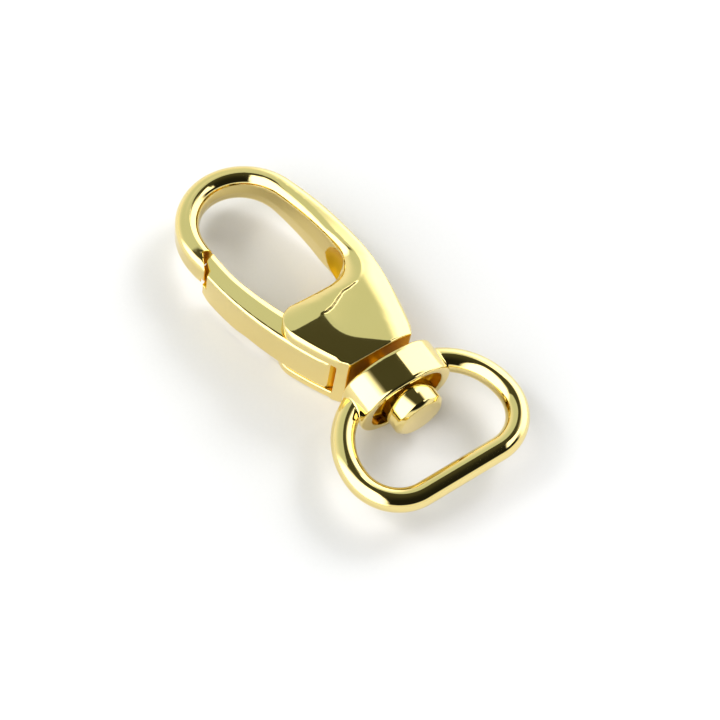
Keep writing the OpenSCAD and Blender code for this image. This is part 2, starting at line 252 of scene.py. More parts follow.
inner = [GATE_C + in_r * unit(nose_in + (gate_join - nose_in) * k / NOSE_N) for k in range(NOSE_N + 1)]
inner += arc(TIP_C, TIP_R - BAND_W, gate_join, spine_join, TIP_N)
for k in range(1, SPINE_N + 1):
    wider = SPINE_WIDE * k / SPINE_N
    inner.append(SPINE_C + (in_r - wider) * unit(spine_join + (spine_turn - spine_join) * k / SPINE_N))
inner += arc(CORNER_C, CORNER_R, spine_turn, 0, SHANK_N)
inner += [wall[0]] + straight(wall[0], wall[1], SHANK_N + 1)
inner += straight(wall[1], wall[2], SHANK_N) + straight(wall[2], wall[3], LIP_N)
print("inner line:", len(inner), "points")

# %% [markdown]
# ### Heights
# The shank's top is flat only beside the gate and at one corner of its end face. From a curved line there
# it falls gently to the ring, and its closed side has a broad shoulder. Such a form could be sculpted by
# hand. A formula for the height over each plan point is chosen, because it can be measured and changed.

# %% Heights of the hook
TIP_T, TAPER_POWER = 3.2, 1.3
FLAT_EDGE_Y, FLAT_END, FLAT_SLANT, FLAT_BLEND = -2.55, (-1.4, -1.2), 0.8, 1.2
FLAT_TURN_X, FLAT_TURN = 1 - SHANK_L, 2
CROWN_SLOPE, CROWN_ROUND, CROWN_SAG = 0.09, 0.15, 1.0
SHOULDER_W, SHOULDER_H = 2.3, 0.9


def share(t):
    return max(0.0, min(1.0, t))


def crown_height(x, y):
    """Half the thickness of the shank and the closed side, without their rounded edges."""
    from_side = y - FLAT_EDGE_Y + FLAT_TURN * max(0, FLAT_TURN_X - x)
    from_end = (FLAT_END[0] + FLAT_SLANT * (y - FLAT_END[1]) - x) / math.hypot(1, FLAT_SLANT)
    # The smaller of the two, with a rounded corner where they meet
    overlap = max(FLAT_BLEND - abs(from_side - from_end), 0) / FLAT_BLEND
    run = min(from_side, from_end) - FLAT_BLEND * overlap ** 2 / 4
    fall = CROWN_SLOPE * (run + math.sqrt(run ** 2 + CROWN_ROUND ** 2)) / 2
    return HALF_T - CROWN_SAG * (1 - math.exp(-fall / CROWN_SAG))


def shank_height(x, y):
    """The same with the closed side's shoulder."""
    inward = SIDE_R - (Vector((x, y)) - SPINE_C).length
    t = 1 - share(inward / SHOULDER_W)
    return crown_height(x, y) - SHOULDER_H * (1 - math.sqrt(1 - t ** 2))


def ring_height(k):
    """Half the thickness of the ring at a station, down to the tip's."""
    if k < NOSE_N + TIP_N / 2:
        return TIP_T / 2
    x, y = outer[k]
    run = share((-SHANK_L - x) / (BODY_L - SHANK_L)) ** TAPER_POWER
    return crown_height(x, y) * (1 - run) + TIP_T / 2 * run


print("half thickness:", round(crown_height(*CORNER_C), 2), "mm by the corner,", TIP_T / 2, "mm at the tip")

# %% [markdown]
# ### Rounded edges
# The ring's edges are as round as a bar's, and the end face has crisp ones. The shank's edge over the
# opening is rolled, widest where the gate begins. A Bevel modifier could round a finished block, but with
# one width. Here every station gets a width and a height for its outer edge and for its inner one.

# %% Rounded edges of the hook
# The first stations of the shank, of its end face and of its side by the gate
RING_N = NOSE_N + TIP_N + SPINE_N + 1
END_N = RING_N + SHANK_N
SIDE_N = END_N + SHANK_N + 2
BLEND_N = 60
# A width and a height for each edge
RING_OUT, RING_IN, TIP_UNDER, NOSE_OUT = (1.0, 1.0), (0.95, 0.9), (0.95, 1.4), (0.7, 0.8)
END_EDGE, SIDE_EDGE = (0.06, 0.06), (0.45, 0.45)
ROLL_W, ROLL_WIDE, ROLL_H, ROLL_GROWS = 1.45, 3.1, 0.8, (-1.2, -3.3)
# In the corner of the opening the roll is wider and falls deeper
CORNER_AT, CORNER_N, CORNER_WIDE, CORNER_DEEP = RING_N + 10, 30, 0.5, 1.0


def ease(t):
    return share(t) ** 2 * (3 - 2 * share(t))


def mix(a, b, t):
    return tuple(x + (y - x) * share(t) for x, y in zip(a, b))


def shank_share(k):
    """0 for a station of the ring, 1 for one of the shank."""
    return ease((k - RING_N) / BLEND_N + 0.5)


def outer_edge(k):
    if k >= SIDE_N:
        return SIDE_EDGE
    ring = mix(NOSE_OUT, RING_OUT, (k - NOSE_N) / TIP_N)
    return mix(ring, END_EDGE, shank_share(k))


def roll_width(y):
    return ROLL_W + (ROLL_WIDE - ROLL_W) * ease((ROLL_GROWS[0] - y) / (ROLL_GROWS[0] - ROLL_GROWS[1]))


def under_roll(k, q):
    """Height of the rolled edge at a plan point, which the lip's sections stay under."""
    t = 1 if k < END_N else share((q.x + SHANK_L) / roll_width(q.y))
    return HALF_T - ROLL_H * (1 - math.sqrt(1 - (1 - t) ** 2))


def inner_edge(k, q, ring_in):
    near = ease(1 - abs(k - CORNER_AT) / CORNER_N)
    w, h = mix(ring_in, (roll_width(q.y), ROLL_H), shank_share(k))
    return w + CORNER_WIDE * near, h + CORNER_DEEP * near


print("rolled edge:", ROLL_W, "mm wide, and", ROLL_WIDE, "mm where the gate begins")

# %% [markdown]
# ### Cross-sections
# A section goes up the outer side, over its rounded edge, across the top and down the inner side, and
# back the same way underneath. The ring's top falls a little outwards, and its inner wall has the draft
# that lets a casting leave its mould. The points on the flat crowd together at its ends, where the
# curvature changes.

# %% Cross-sections of the hook
NOSE_FALL, SPINE_FALL, ROLL_PROUD = 0.13, 0.03, 0.025
ROUND_N, FLAT_N, EDGE_FLAT = 12, 40, 0.05
DRAFT = math.tan(math.radians(5))


def quarter(k, p, d, edge, h, up, from_side):
    """A quarter of a rounded edge at plan point p, turned inwards along d."""
    points = []
    for s in range(ROUND_N + 1):
        a = math.radians(90 * (s if from_side else ROUND_N - s) / ROUND_N)
        q = p + d * edge[0] * (1 - math.cos(a))
        points.append(Vector((q.x, q.y, up * min(h - edge[1] * (1 - math.sin(a)), under_roll(k, q)))))
    return points


def section(k):
    """Closed cross-section of the casting at one station."""
    p, q = outer[k], inner[k]
    shank = shank_share(k)
    h = ring_height(k) * (1 - shank) + HALF_T * shank
    fall = NOSE_FALL + (SPINE_FALL - NOSE_FALL) * ease((k - NOSE_N) / TIP_N)
    low = h - fall * (1 - shank) - ROLL_PROUD * shank
    d = (q - p).normalized()
    room = ((q - p).length - EDGE_FLAT) / 2
    e = outer_edge(k)
    e = (min(e[0], room), min(e[1], low))
    under_in = mix(TIP_UNDER, RING_IN, (k - NOSE_N - TIP_N / 2) / SPINE_N)
    half = []
    for up, ring_in in ((1, RING_IN), (-1, under_in)):
        f = inner_edge(k, q, ring_in)
        f = (min(f[0], room), min(f[1], h))
        side, roll = quarter(k, p, d, e, low, up, True), quarter(k, q, -d, f, h, up, False)
        flat = []
        for s in range(FLAT_N - 1, 0, -1):
            point = roll[0].lerp(side[-1], (1 - math.cos(math.pi * s / FLAT_N)) / 2)
            level = abs(point.z) * (1 - shank) + abs(side[-1].z) * shank
            flat.append(Vector((point.x, point.y, up * min(level, under_roll(k, point)))))
        half.append(side + flat + roll)
    parting = q + d * DRAFT * (1 - shank) * half[0][-1].z
    ring = half[0] + [Vector((parting.x, parting.y, 0))] + half[1][::-1]
    for point in ring:
        point.z *= 1 + (shank_height(point.x, point.y) / HALF_T - 1) * shank
    return ring


rings = [section(k) for k in range(len(outer))]
print(len(rings), "cross-sections with", len(rings[0]), "points each")

# %% [markdown]
# ### Loft
# The loft starts from a circle, extrudes its edge once for each station and moves the new points onto
# that station's cross-section. Bridging separate loops would do the same, but an extruded loop keeps its
# points in step, so the surface never twists.


# %% Loft the hook
def verts_of(made):
    """The points among what an operator made."""
    return [item for item in made if isinstance(item, bmesh.types.BMVert)]


def loft(rings):
    """Closed skin over a row of cross-sections with the same number of points."""
    bm = bmesh.new()
    loop = bmesh.ops.create_circle(bm, cap_ends=True, segments=len(rings[0]), radius=1)["verts"]
    for vert, point in zip(loop, rings[0]):
        vert.co = point
    for ring in rings[1:]:
        edges = [bm.edges.get((loop[j - 1], loop[j])) for j in range(len(loop))]
        fresh = set(verts_of(bmesh.ops.extrude_edge_only(bm, edges=edges)["geom"]))
        loop = [next(e.other_vert(v) for e in v.link_edges if e.other_vert(v) in fresh) for v in loop]
        for vert, point in zip(loop, ring):
            vert.co = point
    bmesh.ops.contextual_create(bm, geom=loop)
    return bm


def on_bench(bm, name):
    """Turns a closed bmesh in millimetres into an object to work on."""
    bmesh.ops.recalc_face_normals(bm, faces=bm.faces)
    mesh = bpy.data.meshes.new(name)
    bm.to_mesh(mesh)
    bm.free()
    piece = bpy.data.objects.new(name, mesh)
    bpy.context.scene.collection.objects.link(piece)
    return piece


hook = on_bench(loft(rings), "hook_casting")
print("lofted hook:", len(hook.data.polygons), "faces")

# %% [markdown]
# ### Interlocking nose
# The nose and the gate's tip meet on a slanted line with a small step in it, and they overlap underneath,
# which stops the gate as it shuts. The cross-sections could end on that line, but its corners are sharp.
# So both pieces are made too long and cut along it with a Boolean modifier, as a milling cutter would.

# %% Nose step
STEP_IN_Y, STEP_OUT_Y, PAST_NOSE_X, PAST_GATE_X = -4.4, -9.6, -11, -24
NOSE_STEP = [(-16.0, STEP_IN_Y), (-15.2, -6.3), (-15.35, -7.05), (-13.95, -7.7), (-13.45, -8.25),
             (-12.75, STEP_OUT_Y)]
GATE_STEP = [(-15.8, STEP_IN_Y), (-14.92, -6.35), (-14.5, -7.25), (-13.5, -7.6), (-13.15, -8.2),
             (-12.4, STEP_OUT_Y)]
LAP, LAP_Z = 0.45, -0.4


def prism(plan, low, high):
    """Upright block over a plan outline."""
    bm = bmesh.new()
    corners = [bm.verts.new((p[0], p[1], low)) for p in plan]
    base = bmesh.ops.contextual_create(bm, geom=corners)["faces"]
    top = verts_of(bmesh.ops.extrude_face_region(bm, geom=base)["geom"])
    bmesh.ops.translate(bm, vec=(0, 0, high - low), verts=top)
    return bm


def apply_modifiers(piece):
    evaluated = piece.evaluated_get(bpy.context.evaluated_depsgraph_get())
    mesh = bpy.data.meshes.new_from_object(evaluated)
    piece.modifiers.clear()
    old, piece.data = piece.data, mesh
    bpy.data.meshes.remove(old)


def cut(piece, tool_bm):
    """Takes a tool's shape out of a piece."""
    tool = on_bench(tool_bm, "tool")
    boolean = piece.modifiers.new("cut", "BOOLEAN")
    boolean.operation = "DIFFERENCE"
    boolean.solver = "EXACT"
    boolean.object = tool
    apply_modifiers(piece)
    mesh = tool.data
    bpy.data.objects.remove(tool)
    bpy.data.meshes.remove(mesh)


def cut_step(piece, plan, past_x, height):
    """Cuts off what lies past the step, and underneath past the same step further along."""
    waste = plan + [(past_x, STEP_OUT_Y), (past_x, STEP_IN_Y)]
    cut(piece, prism(waste, LAP_Z, height))
    cut(piece, prism([(x - LAP, y) for x, y in waste], -height, LAP_Z))


cut_step(hook, NOSE_STEP, PAST_NOSE_X, TIP_T)
print("hook with its nose cut:", len(hook.data.polygons), "faces")

# %% [markdown]
# ### Pocket and bores
# The gate swings in a pocket that is open at the shank's side, and the pin, the post and the spring each
# have a bore. A mould could form the pocket with a slide, and a drill makes the bores. Here a drum and a
# block cut the pocket, a drum cuts each bore, and a stretched sphere cuts the small hollow in the
# opening's corner.

# %% Pocket and bores
PIN_R, PIN_TOP, PIN_INSET, BOSS_SETBACK = 0.6, 2.8, 1.45, 0.1
GATE_H, GATE_TAIL, GATE_OPEN, SIDE_CLEAR, SWING_CLEAR = 3.9, 0.75, 28, 0.12, 0.25
POST_TAIL_R, POST_TAIL_FIT, POST_TAIL_L, NECK_FROM = 0.8, 0.15, 3.2, 1.6
SPRING_X, SPRING_TO, SPRING_HOLE_R = -4.87, 1.2, 0.97
HOLLOW_C, HOLLOW_R, HOLLOW_H = Vector((-9.3, 1.0, 0.2)), 1.86, 2.5
ALONG_X, ALONG_Y, UPRIGHT = (1, 0, 0), (0, 1, 0), (0, 0, 1)
DRUM_SIDES, FAR = 96, 40
PIN_C = GATE_C + (SIDE_R - PIN_INSET) * unit(gate_bearing(-GATE_TAIL - PIN_INSET / 2, SIDE_R))
HOLLOW = Matrix.Translation(HOLLOW_C) @ Matrix.Diagonal((HOLLOW_R, HOLLOW_R, HOLLOW_H, 1))
boss_r = PIN_INSET - BOSS_SETBACK
pocket_r = boss_r + SWING_CLEAR
pocket_turn = bearing(PIN_C - GATE_C) - 90 - GATE_OPEN
slot_h = GATE_H + 2 * SIDE_CLEAR
slot_end = SWING_CLEAR - GATE_TAIL
pocket_back = PIN_C + pocket_r * unit(pocket_turn - 90)
mouth = pocket_back + SHANK_L * unit(pocket_turn)
pocket = [pocket_back, mouth, Vector((mouth.x, -FAR)), Vector((slot_end, -FAR)),
          Vector((slot_end, PIN_C.y))]


def drum(centre, axis, radius, length):
    """Round bar that starts at centre and runs along axis."""
    bm = bmesh.new()
    turn = Vector(UPRIGHT).rotation_difference(Vector(axis)).to_matrix().to_4x4()
    matrix = Matrix.Translation(centre) @ turn @ Matrix.Translation((0, 0, length / 2))
    bmesh.ops.create_cone(bm, cap_ends=True, segments=DRUM_SIDES, radius1=radius, radius2=radius,
                          depth=length, matrix=matrix)
    return bm


cut(hook, drum((PIN_C.x, PIN_C.y, -slot_h / 2), UPRIGHT, pocket_r, slot_h))
cut(hook, prism(pocket, -slot_h / 2, slot_h / 2))
cut(hook, drum((PIN_C.x, PIN_C.y, -2 * HALF_T), UPRIGHT, PIN_R, PIN_TOP + 2 * HALF_T))
cut(hook, drum((-POST_TAIL_L, 0, 0), ALONG_X, POST_TAIL_R - POST_TAIL_FIT, POST_TAIL_L + NECK_FROM))
cut(hook, drum((SPRING_X, PIN_C.y, 0), ALONG_Y, SPRING_HOLE_R, SPRING_TO - PIN_C.y))
hollow = bmesh.new()
bmesh.ops.create_uvsphere(hollow, u_segments=64, v_segments=48, radius=1, matrix=HOLLOW)
cut(hook, hollow)
print("pocket", round(slot_h, 2), "mm high, pin at", [round(c, 3) for c in PIN_C])

# %% [markdown]
# ### Tumbling and plating
# Castings are tumbled with polishing grit, which rounds every edge a little. A bevel on each cut edge
# would look too even, so the piece is remeshed in small voxels and smoothed. The points in the slit
# before the barrel, the hollow, the pocket and on the faces of the step are marked for painted shade,
# as these recesses lie in shadow.

# %% Tumble the hook
POLISH = 0.5


def tumble(piece, grit, passes):
    """Joins what overlaps and rounds every edge a little."""
    remesh = piece.modifiers.new("grit", "REMESH")
    remesh.mode = "VOXEL"
    remesh.voxel_size = grit
    smooth = piece.modifiers.new("polish", "SMOOTH")
    smooth.factor = POLISH
    smooth.iterations = passes
    apply_modifiers(piece)


tumble(hook, grit=0.092, passes=5)
print("tumbled hook:", len(hook.data.polygons), "faces")

# %% Where the painted shade goes
STEP_FACE, STEP_ZONE, LEDGE_FACING = 0.07, -11.5, 0.8
POCKET_FROM, POCKET_EDGE = -5.5, 0.2
SLIT_DEPTH, SLIT_EDGE, HOLLOW_MARGIN = 0.05, 0.15, 1.04
to_hollow = HOLLOW.inverted()


def near_step(vert, plan):
    """True on the faces that the step's cut leaves, and on the ledge between its two halves."""
    p = vert.co
    if p.x > STEP_ZONE:
        return False
    on_ledge = vert.normal.z > LEDGE_FACING and abs(p.z - LAP_Z) < STEP_FACE
    at = Vector((p.x + (LAP if p.z < LAP_Z else 0), p.y))
    for a, b in zip(plan, plan[1:]):
        a, b = Vector(a), Vector(b)
        foot = a.lerp(b, share((at - a).dot(b - a) / (b - a).length_squared))
        if (at - foot).length < (LAP if on_ledge else STEP_FACE):
            return True
    return False


def behind_gate(p, start, stop):
    """True at the slot's height, a little way in from the gate's side.

    It has no far limit, so it takes in the closed side's wall as well as the pocket.
    """
    depth = SIDE_R - (p.xy - GATE_C).length
    return start < p.x < stop and abs(p.z) < slot_h / 2 + STEP_FACE and depth > POCKET_EDGE


def in_slit(p):
    """True on the shank's end face, away from its edges."""
    inside = abs(p.z) < HALF_T - SLIT_EDGE and p.y < END_HIGH.y - END_ROUND - SLIT_EDGE
    return inside and p.x > END_PROUD - SLIT_DEPTH


# Painted shade in the slit, the hollow, the pocket and on the step's faces
def painted_shade_on_hook(vert):
    p = vert.co
    in_hollow = (to_hollow @ p).length < HOLLOW_MARGIN
    in_pocket = behind_gate(p, POCKET_FROM, slot_end + STEP_FACE)
    return in_slit(p) or in_hollow or in_pocket or near_step(vert, NOSE_STEP)


def paint_recess_shade(piece, hidden):
    """Marks the recessed points that the gold plate paints a deeper amber, as painted shade."""
    marks = piece.data.attributes.new("painted_recess_shade", "FLOAT", "POINT")
    for vert, mark in zip(piece.data.vertices, marks.data):
        mark.value = hidden(vert)
    print(piece.name, "has", round(sum(mark.value for mark in marks.data)), "unpolished points")


paint_recess_shade(hook, painted_shade_on_hook)

# %% Plate the hook
SHARP_ANGLE = math.radians(50)


def put_in_place(piece, node, body, material):
    """Scales a finished piece to metres, gives it its finish and lets it stand for its CAD node."""
    piece.data.transform(BENCH_TO_PART)
    piece.data.shade_smooth()
    piece.data.set_sharp_from_angle(angle=SHARP_ANGLE)
    piece.data.materials.clear()
    piece.data.materials.append(material)
    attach(piece, body)
    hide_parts(node)
    size = [round(side / MM, 2) for side in piece.dimensions]
    print(piece.name, "measures", size, "mm with", len(piece.data.polygons), "faces")


put_in_place(hook, "hook_body", "hook", gold_plate)

# %% [markdown]
# ## Gate
# The gate is a bar bent to the same curve as the hook's side. Its section is a rectangle with soft outer
# corners and a bevel inside. A curve object with this section could follow the side, but spinning it
# about the side's own centre gives a true arc. The bar is made too long, and its tail is cut on a slant.

# %% Gate bar
GATE_W, GATE_ROUND, GATE_ROUND_N, BEVEL_W, BEVEL_H = 2.25, 0.3, 8, 0.55, 0.175
GATE_FROM, GATE_TO, GATE_STEPS = 0.3, -16.8, 80
GATE_TAIL_BACK, GATE_TAIL_SLANT = Vector((-1.05, -4.15, 0)), math.radians(26)
gate_in, top = SIDE_R - GATE_W, GATE_H / 2
profile = [(SIDE_R, -top), (SIDE_R, top), (gate_in + BEVEL_W, top), (gate_in, top - BEVEL_H),
           (gate_in, BEVEL_H - top), (gate_in + BEVEL_W, -top)]


def everything(bm):
    return bm.verts[:] + bm.edges[:] + bm.faces[:]


def close_ends(bm):
    bmesh.ops.holes_fill(bm, edges=[e for e in bm.edges if e.is_boundary], sides=0)


bm = bmesh.new()
corners = [bm.verts.new((r, 0, z)) for r, z in profile]
bmesh.ops.contextual_create(bm, geom=corners)
bmesh.ops.bevel(bm, geom=corners[:2], affect="VERTICES", offset=GATE_ROUND, segments=GATE_ROUND_N,
                profile=0.5, material=-1)
start, stop = gate_bearing(GATE_FROM, SIDE_R), gate_bearing(GATE_TO, SIDE_R)
bmesh.ops.rotate(bm, matrix=Matrix.Rotation(math.radians(start), 3, "Z"), verts=bm.verts)
bmesh.ops.translate(bm, vec=(GATE_C.x, GATE_C.y, 0), verts=bm.verts)
bmesh.ops.spin(bm, geom=everything(bm), cent=(GATE_C.x, GATE_C.y, 0), axis=UPRIGHT,
               angle=math.radians(stop - start), steps=GATE_STEPS)
bmesh.ops.bisect_plane(bm, geom=everything(bm), plane_co=GATE_TAIL_BACK,
                       plane_no=(math.cos(GATE_TAIL_SLANT), -math.sin(GATE_TAIL_SLANT), 0), clear_outer=True)
close_ends(bm)
print("gate bar:", len(bm.faces), "faces over", round(start - stop, 1), "degrees")

# %% [markdown]
# ### Arm of the gate
# Outside the shank the arm gets slimmer to its tip, its top falls a little and its underside hangs lower,
# with a round heel at the tip. A lattice could bend the bar like that. Moving each point by the same few
# formulas keeps every size in sight.

# %% Gate arm
SLIM_TIP, SLIM_FROM, SLIM_RUN = 0.45, -6.0, 6.0
TOP_FROM, TOP_SLOPE = -4.5, 0.04
BELLY_FROM, BELLY_H, BELLY_BLEND = -7.0, 0.3, 2.0
HEEL_FROM, HEEL_R = -12.6, 1.3
for vert in bm.verts:
    from_centre = vert.co.xy - GATE_C
    inward = (SIDE_R - from_centre.length) / GATE_W
    slimmer = SLIM_TIP * share((SLIM_FROM - vert.co.x) / SLIM_RUN)
    vert.co.xy = GATE_C + from_centre * (1 + slimmer * inward / from_centre.length)
    drop = TOP_SLOPE * max(0, TOP_FROM - vert.co.x)
    belly = BELLY_H * ease((BELLY_FROM - vert.co.x) / BELLY_BLEND - 0.5)
    heel = (HEEL_FROM - vert.co.x) / HEEL_R
    belly -= HEEL_R * (1 - math.sqrt(1 - share(heel) ** 2))
    vert.co.z -= (drop if vert.co.z > 0 else belly) * abs(vert.co.z) / (GATE_H / 2)
gate = on_bench(bm, "gate_arm")
cut_step(gate, GATE_STEP, PAST_GATE_X, GATE_H)
print("gate with its tip cut:", len(gate.data.polygons), "faces")

# %% [markdown]
# ### Boss and bores of the gate
# A round boss holds the pin, and a shallow seat holds the spring. The boss could be joined to the arm
# with a Boolean modifier. The remesher does that as it rounds the edges, so the boss is only laid into
# the same mesh. The bores are cut afterwards and stay crisp, as drilled ones do.

# %% Gate boss and bores
PIN_PLAY, SPRING_FROM, SPRING_SEAT, GATE_TAIL_HIDDEN = 0.05, -4.6984, 1.2, 0.6
boss = drum((PIN_C.x, PIN_C.y, -GATE_H / 2), UPRIGHT, boss_r, GATE_H)
boss.from_mesh(gate.data)
boss.to_mesh(gate.data)
boss.free()
tumble(gate, grit=0.06, passes=4)
cut(gate, drum((PIN_C.x, PIN_C.y, -GATE_H), UPRIGHT, PIN_R + PIN_PLAY, 2 * GATE_H))
cut(gate, drum((SPRING_X, SPRING_FROM, 0), ALONG_Y, SPRING_HOLE_R, SPRING_SEAT))


# Painted shade on the faces of the gate's step and on its tail inside the pocket
def painted_shade_on_gate(vert):
    return near_step(vert, GATE_STEP) or behind_gate(vert.co, GATE_TAIL_BACK.x - GATE_TAIL_HIDDEN, 0)


paint_recess_shade(gate, painted_shade_on_gate)
put_in_place(gate, "gate", "gate", gold_plate)

# %% [markdown]
# ## Spring steel
# The pin and the spring are of drawn wire: grey, with a satin sheen and faint draw marks. Stretched noise
# could follow the wire, but both pieces are almost hidden, so a fine even noise in colour and roughness
# is enough.

# %% Spring steel
# Real draw marks are finer, and are drawn at this width so that they can show
DRAW_MARK_MM = 0.05
spring_steel, tree, shader = new_material("drawn_spring_steel")
where = add_node(tree, "ShaderNodeTexCoord").outputs["Object"]
marks = add_node(tree, "ShaderNodeTexNoise", Vector=where, Scale=1 / (DRAW_MARK_MM * MM), Detail=2.0)
tint = add_node(tree, "ShaderNodeMix", {"data_type": "RGBA"}, Factor=marks.outputs["Fac"],
                A=linear("B4B5B2"), B=linear("CFCFCB"))
tree.links.new(result(tint), shader.inputs["Base Color"])
satin = add_node(tree, "ShaderNodeMapRange", Value=marks.outputs["Fac"], To_Min=0.2, To_Max=0.34)
tree.links.new(satin.outputs["Result"], shader.inputs["Roughness"])
shader.inputs["Metallic"].default_value = 1.0
print("spring steel:", len(tree.nodes), "nodes")

# %% [markdown]
# ## Gate pin and spring
# The pin's lower end shows underneath, and the spring shows in the pocket when the gate is open. The pin
# is a bar with bevelled ends. The spring could be a curve with a Screw modifier. Here a small circle is
# spun round its axis with a step along it each time, which is how a spring winder works.

# %% Gate pin
PIN_SINK, PIN_BEVEL, PIN_BEVEL_N = 0.1, 0.12, 3
LEVEL = 1e-5


def bevel_rims(bm, rims, width, count):
    bmesh.ops.bevel(bm, geom=rims, affect="EDGES", offset=width, segments=count, profile=0.5, material=-1)


bm = drum((PIN_C.x, PIN_C.y, PIN_SINK - HALF_T), UPRIGHT, PIN_R, PIN_TOP + HALF_T - PIN_SINK)
rims = [e for e in bm.edges if abs(e.verts[0].co.z - e.verts[1].co.z) < LEVEL]
bevel_rims(bm, rims, PIN_BEVEL, PIN_BEVEL_N)
put_in_place(on_bench(bm, "hinge_pin"), "gate_pin", "hook", spring_steel)

# %% Gate spring
SPRING_D, SPRING_WIRE, SPRING_TURNS, SPRING_GAP = 1.7, 0.28, 6, 0.01
STEPS_PER_TURN, SPRING_WIRE_SIDES = 36, 14
coil_r = (SPRING_D - SPRING_WIRE) / 2
steps = SPRING_TURNS * STEPS_PER_TURN
rise = (SPRING_TO - SPRING_FROM - SPRING_WIRE - 2 * SPRING_GAP) / steps
bm = bmesh.new()
wire = Matrix.Translation((SPRING_X + coil_r, SPRING_FROM + SPRING_WIRE / 2 + SPRING_GAP, 0))
bmesh.ops.create_circle(bm, segments=SPRING_WIRE_SIDES, radius=SPRING_WIRE / 2, matrix=wire)
bmesh.ops.spin(bm, geom=bm.verts[:] + bm.edges[:], cent=(SPRING_X, 0, 0), axis=ALONG_Y, dvec=(0, rise, 0),
               angle=math.radians(360 * SPRING_TURNS), steps=steps)
close_ends(bm)
spring = on_bench(bm, "gate_coil_spring")
put_in_place(spring, "gate_spring", "hook", spring_steel)
# With the gate wide open, the spring keeps about three quarters of its length
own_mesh(spring)

# %% [markdown]
# ## Swivel post
# The post is turned on a lathe and pressed into the shank by its slim tail, and its button head keeps the
# eye on. Stacked cylinders could be joined, but a turned piece is simply a profile spun once round its
# axis. The rims get a small bevel so that they catch the light. Only the head stands clear of the barrel;
# the rest of the post gets the painted shade of the recesses.

# %% Swivel post
NECK_R, HEAD_R, HEAD_CHAMFER = 1.6, 2.3, 0.35
HEAD_BACK, HEAD_FRONT, HEAD_HIDDEN = 3.24, 6.02, 0.05
RIM_ANGLE, RIM_BEVEL, RIM_BEVEL_N, MERGE = math.radians(30), 0.1, 4, 1e-4
profile = [(-POST_TAIL_L, 0), (-POST_TAIL_L, POST_TAIL_R), (NECK_FROM, POST_TAIL_R), (NECK_FROM, NECK_R),
           (HEAD_BACK, NECK_R), (HEAD_BACK, HEAD_R), (HEAD_FRONT - HEAD_CHAMFER, HEAD_R),
           (HEAD_FRONT, HEAD_R - HEAD_CHAMFER), (HEAD_FRONT, 0)]
bm = bmesh.new()
points = [bm.verts.new((x, r, 0)) for x, r in profile]
for a, b in zip(points, points[1:]):
    bm.edges.new((a, b))
bmesh.ops.spin(bm, geom=bm.verts[:] + bm.edges[:], cent=(0, 0, 0), axis=ALONG_X, angle=math.radians(360),
               steps=DRUM_SIDES, use_merge=True)
bmesh.ops.remove_doubles(bm, verts=bm.verts, dist=MERGE)
bmesh.ops.recalc_face_normals(bm, faces=bm.faces)
rims = [e for e in bm.edges if e.is_manifold and e.calc_face_angle() > RIM_ANGLE
        and abs(e.verts[0].co.x - e.verts[1].co.x) < LEVEL]
bevel_rims(bm, rims, RIM_BEVEL, RIM_BEVEL_N)
post = on_bench(bm, "turned_post")
# Painted shade on all of the post behind its head
paint_recess_shade(post, lambda vert: vert.co.x < HEAD_BACK + HEAD_HIDDEN)
put_in_place(post, "swivel_post", "hook", gold_plate)

# %% [markdown]
# ## Swivel eye
# Barrel and wire eye are one casting. The barrel is an oval drum, a little fuller than an ellipse, with a
# stepped bore for the post and an oval recess round its head. A scaled cylinder would be a plain ellipse,
# so the points of a circle are moved onto the fuller oval before it is extruded.

# %% Barrel
BARREL_W, BARREL_H, BARREL_BACK, BARREL_FRONT = 8.7, 6.3, 0.95, 4.02
RECESS_W, RECESS_H, RECESS_FLOOR = 6.8, 5.3, 3.0
OVAL_POWER, BORE_PLAY = 0.87, 0.05
BARREL_ANGLE, BARREL_BEVEL, BARREL_BEVEL_N = math.radians(60), 0.22, 4


def oval_drum(back, front, width, height):
    """Upright oval, extruded along the swivel axis."""
    bm = bmesh.new()
    oval = bmesh.ops.create_circle(bm, cap_ends=True, segments=DRUM_SIDES, radius=1)["verts"]
    for vert in oval:
        across, high = (math.copysign(abs(c) ** OVAL_POWER, c) / 2 for c in vert.co.xy)
        vert.co = (back, width * across, height * high)
    end = verts_of(bmesh.ops.extrude_face_region(bm, geom=bm.faces[:])["geom"])
    bmesh.ops.translate(bm, vec=(front - back, 0, 0), verts=end)
    bmesh.ops.recalc_face_normals(bm, faces=bm.faces)
    return bm


bm = oval_drum(BARREL_BACK, BARREL_FRONT, BARREL_W, BARREL_H)
rims = [e for e in bm.edges if e.calc_face_angle() > BARREL_ANGLE]
bevel_rims(bm, rims, BARREL_BEVEL, BARREL_BEVEL_N)
eye = on_bench(bm, "wire_eye")
cut(eye, drum((0, 0, 0), ALONG_X, POST_TAIL_R + BORE_PLAY, 2 * BARREL_FRONT))
cut(eye, drum((NECK_FROM - BORE_PLAY, 0, 0), ALONG_X, NECK_R + BORE_PLAY, 2 * BARREL_FRONT))
cut(eye, oval_drum(RECESS_FLOOR, 2 * BARREL_FRONT, RECESS_W, RECESS_H))
print("barrel:", len(eye.data.polygons), "faces")

# %% [markdown]
# ### Wire of the eye
# The wire runs from the middle of its bar round a bend and over a long shoulder into the barrel. A curve
# with a round bevel would make it too. Here a circle is extruded and spun from stretch to stretch, as
# wire is bent round pins, and half the eye is mirrored. Where it overlaps the barrel, the remesher makes
# a small fillet.

# %% Wire eye
WIRE_R, WIRE_SIDES, WIRE_STEPS = 1.0, 48, 40
EYE_HALF, BAR_X, BAR_HALF, BEND_X, SHOULDER_X = 7.5, 11.52, 3.7, 7.72, 7.62
ROOT = Vector((2.08667, 3.65))
inward = EYE_HALF - ROOT.y
shoulder_r = ((SHOULDER_X - ROOT.x) ** 2 + inward ** 2) / (2 * inward)
shoulder_c = Vector((SHOULDER_X, EYE_HALF - shoulder_r))
shoulder_turn = bearing(ROOT - shoulder_c) - 90


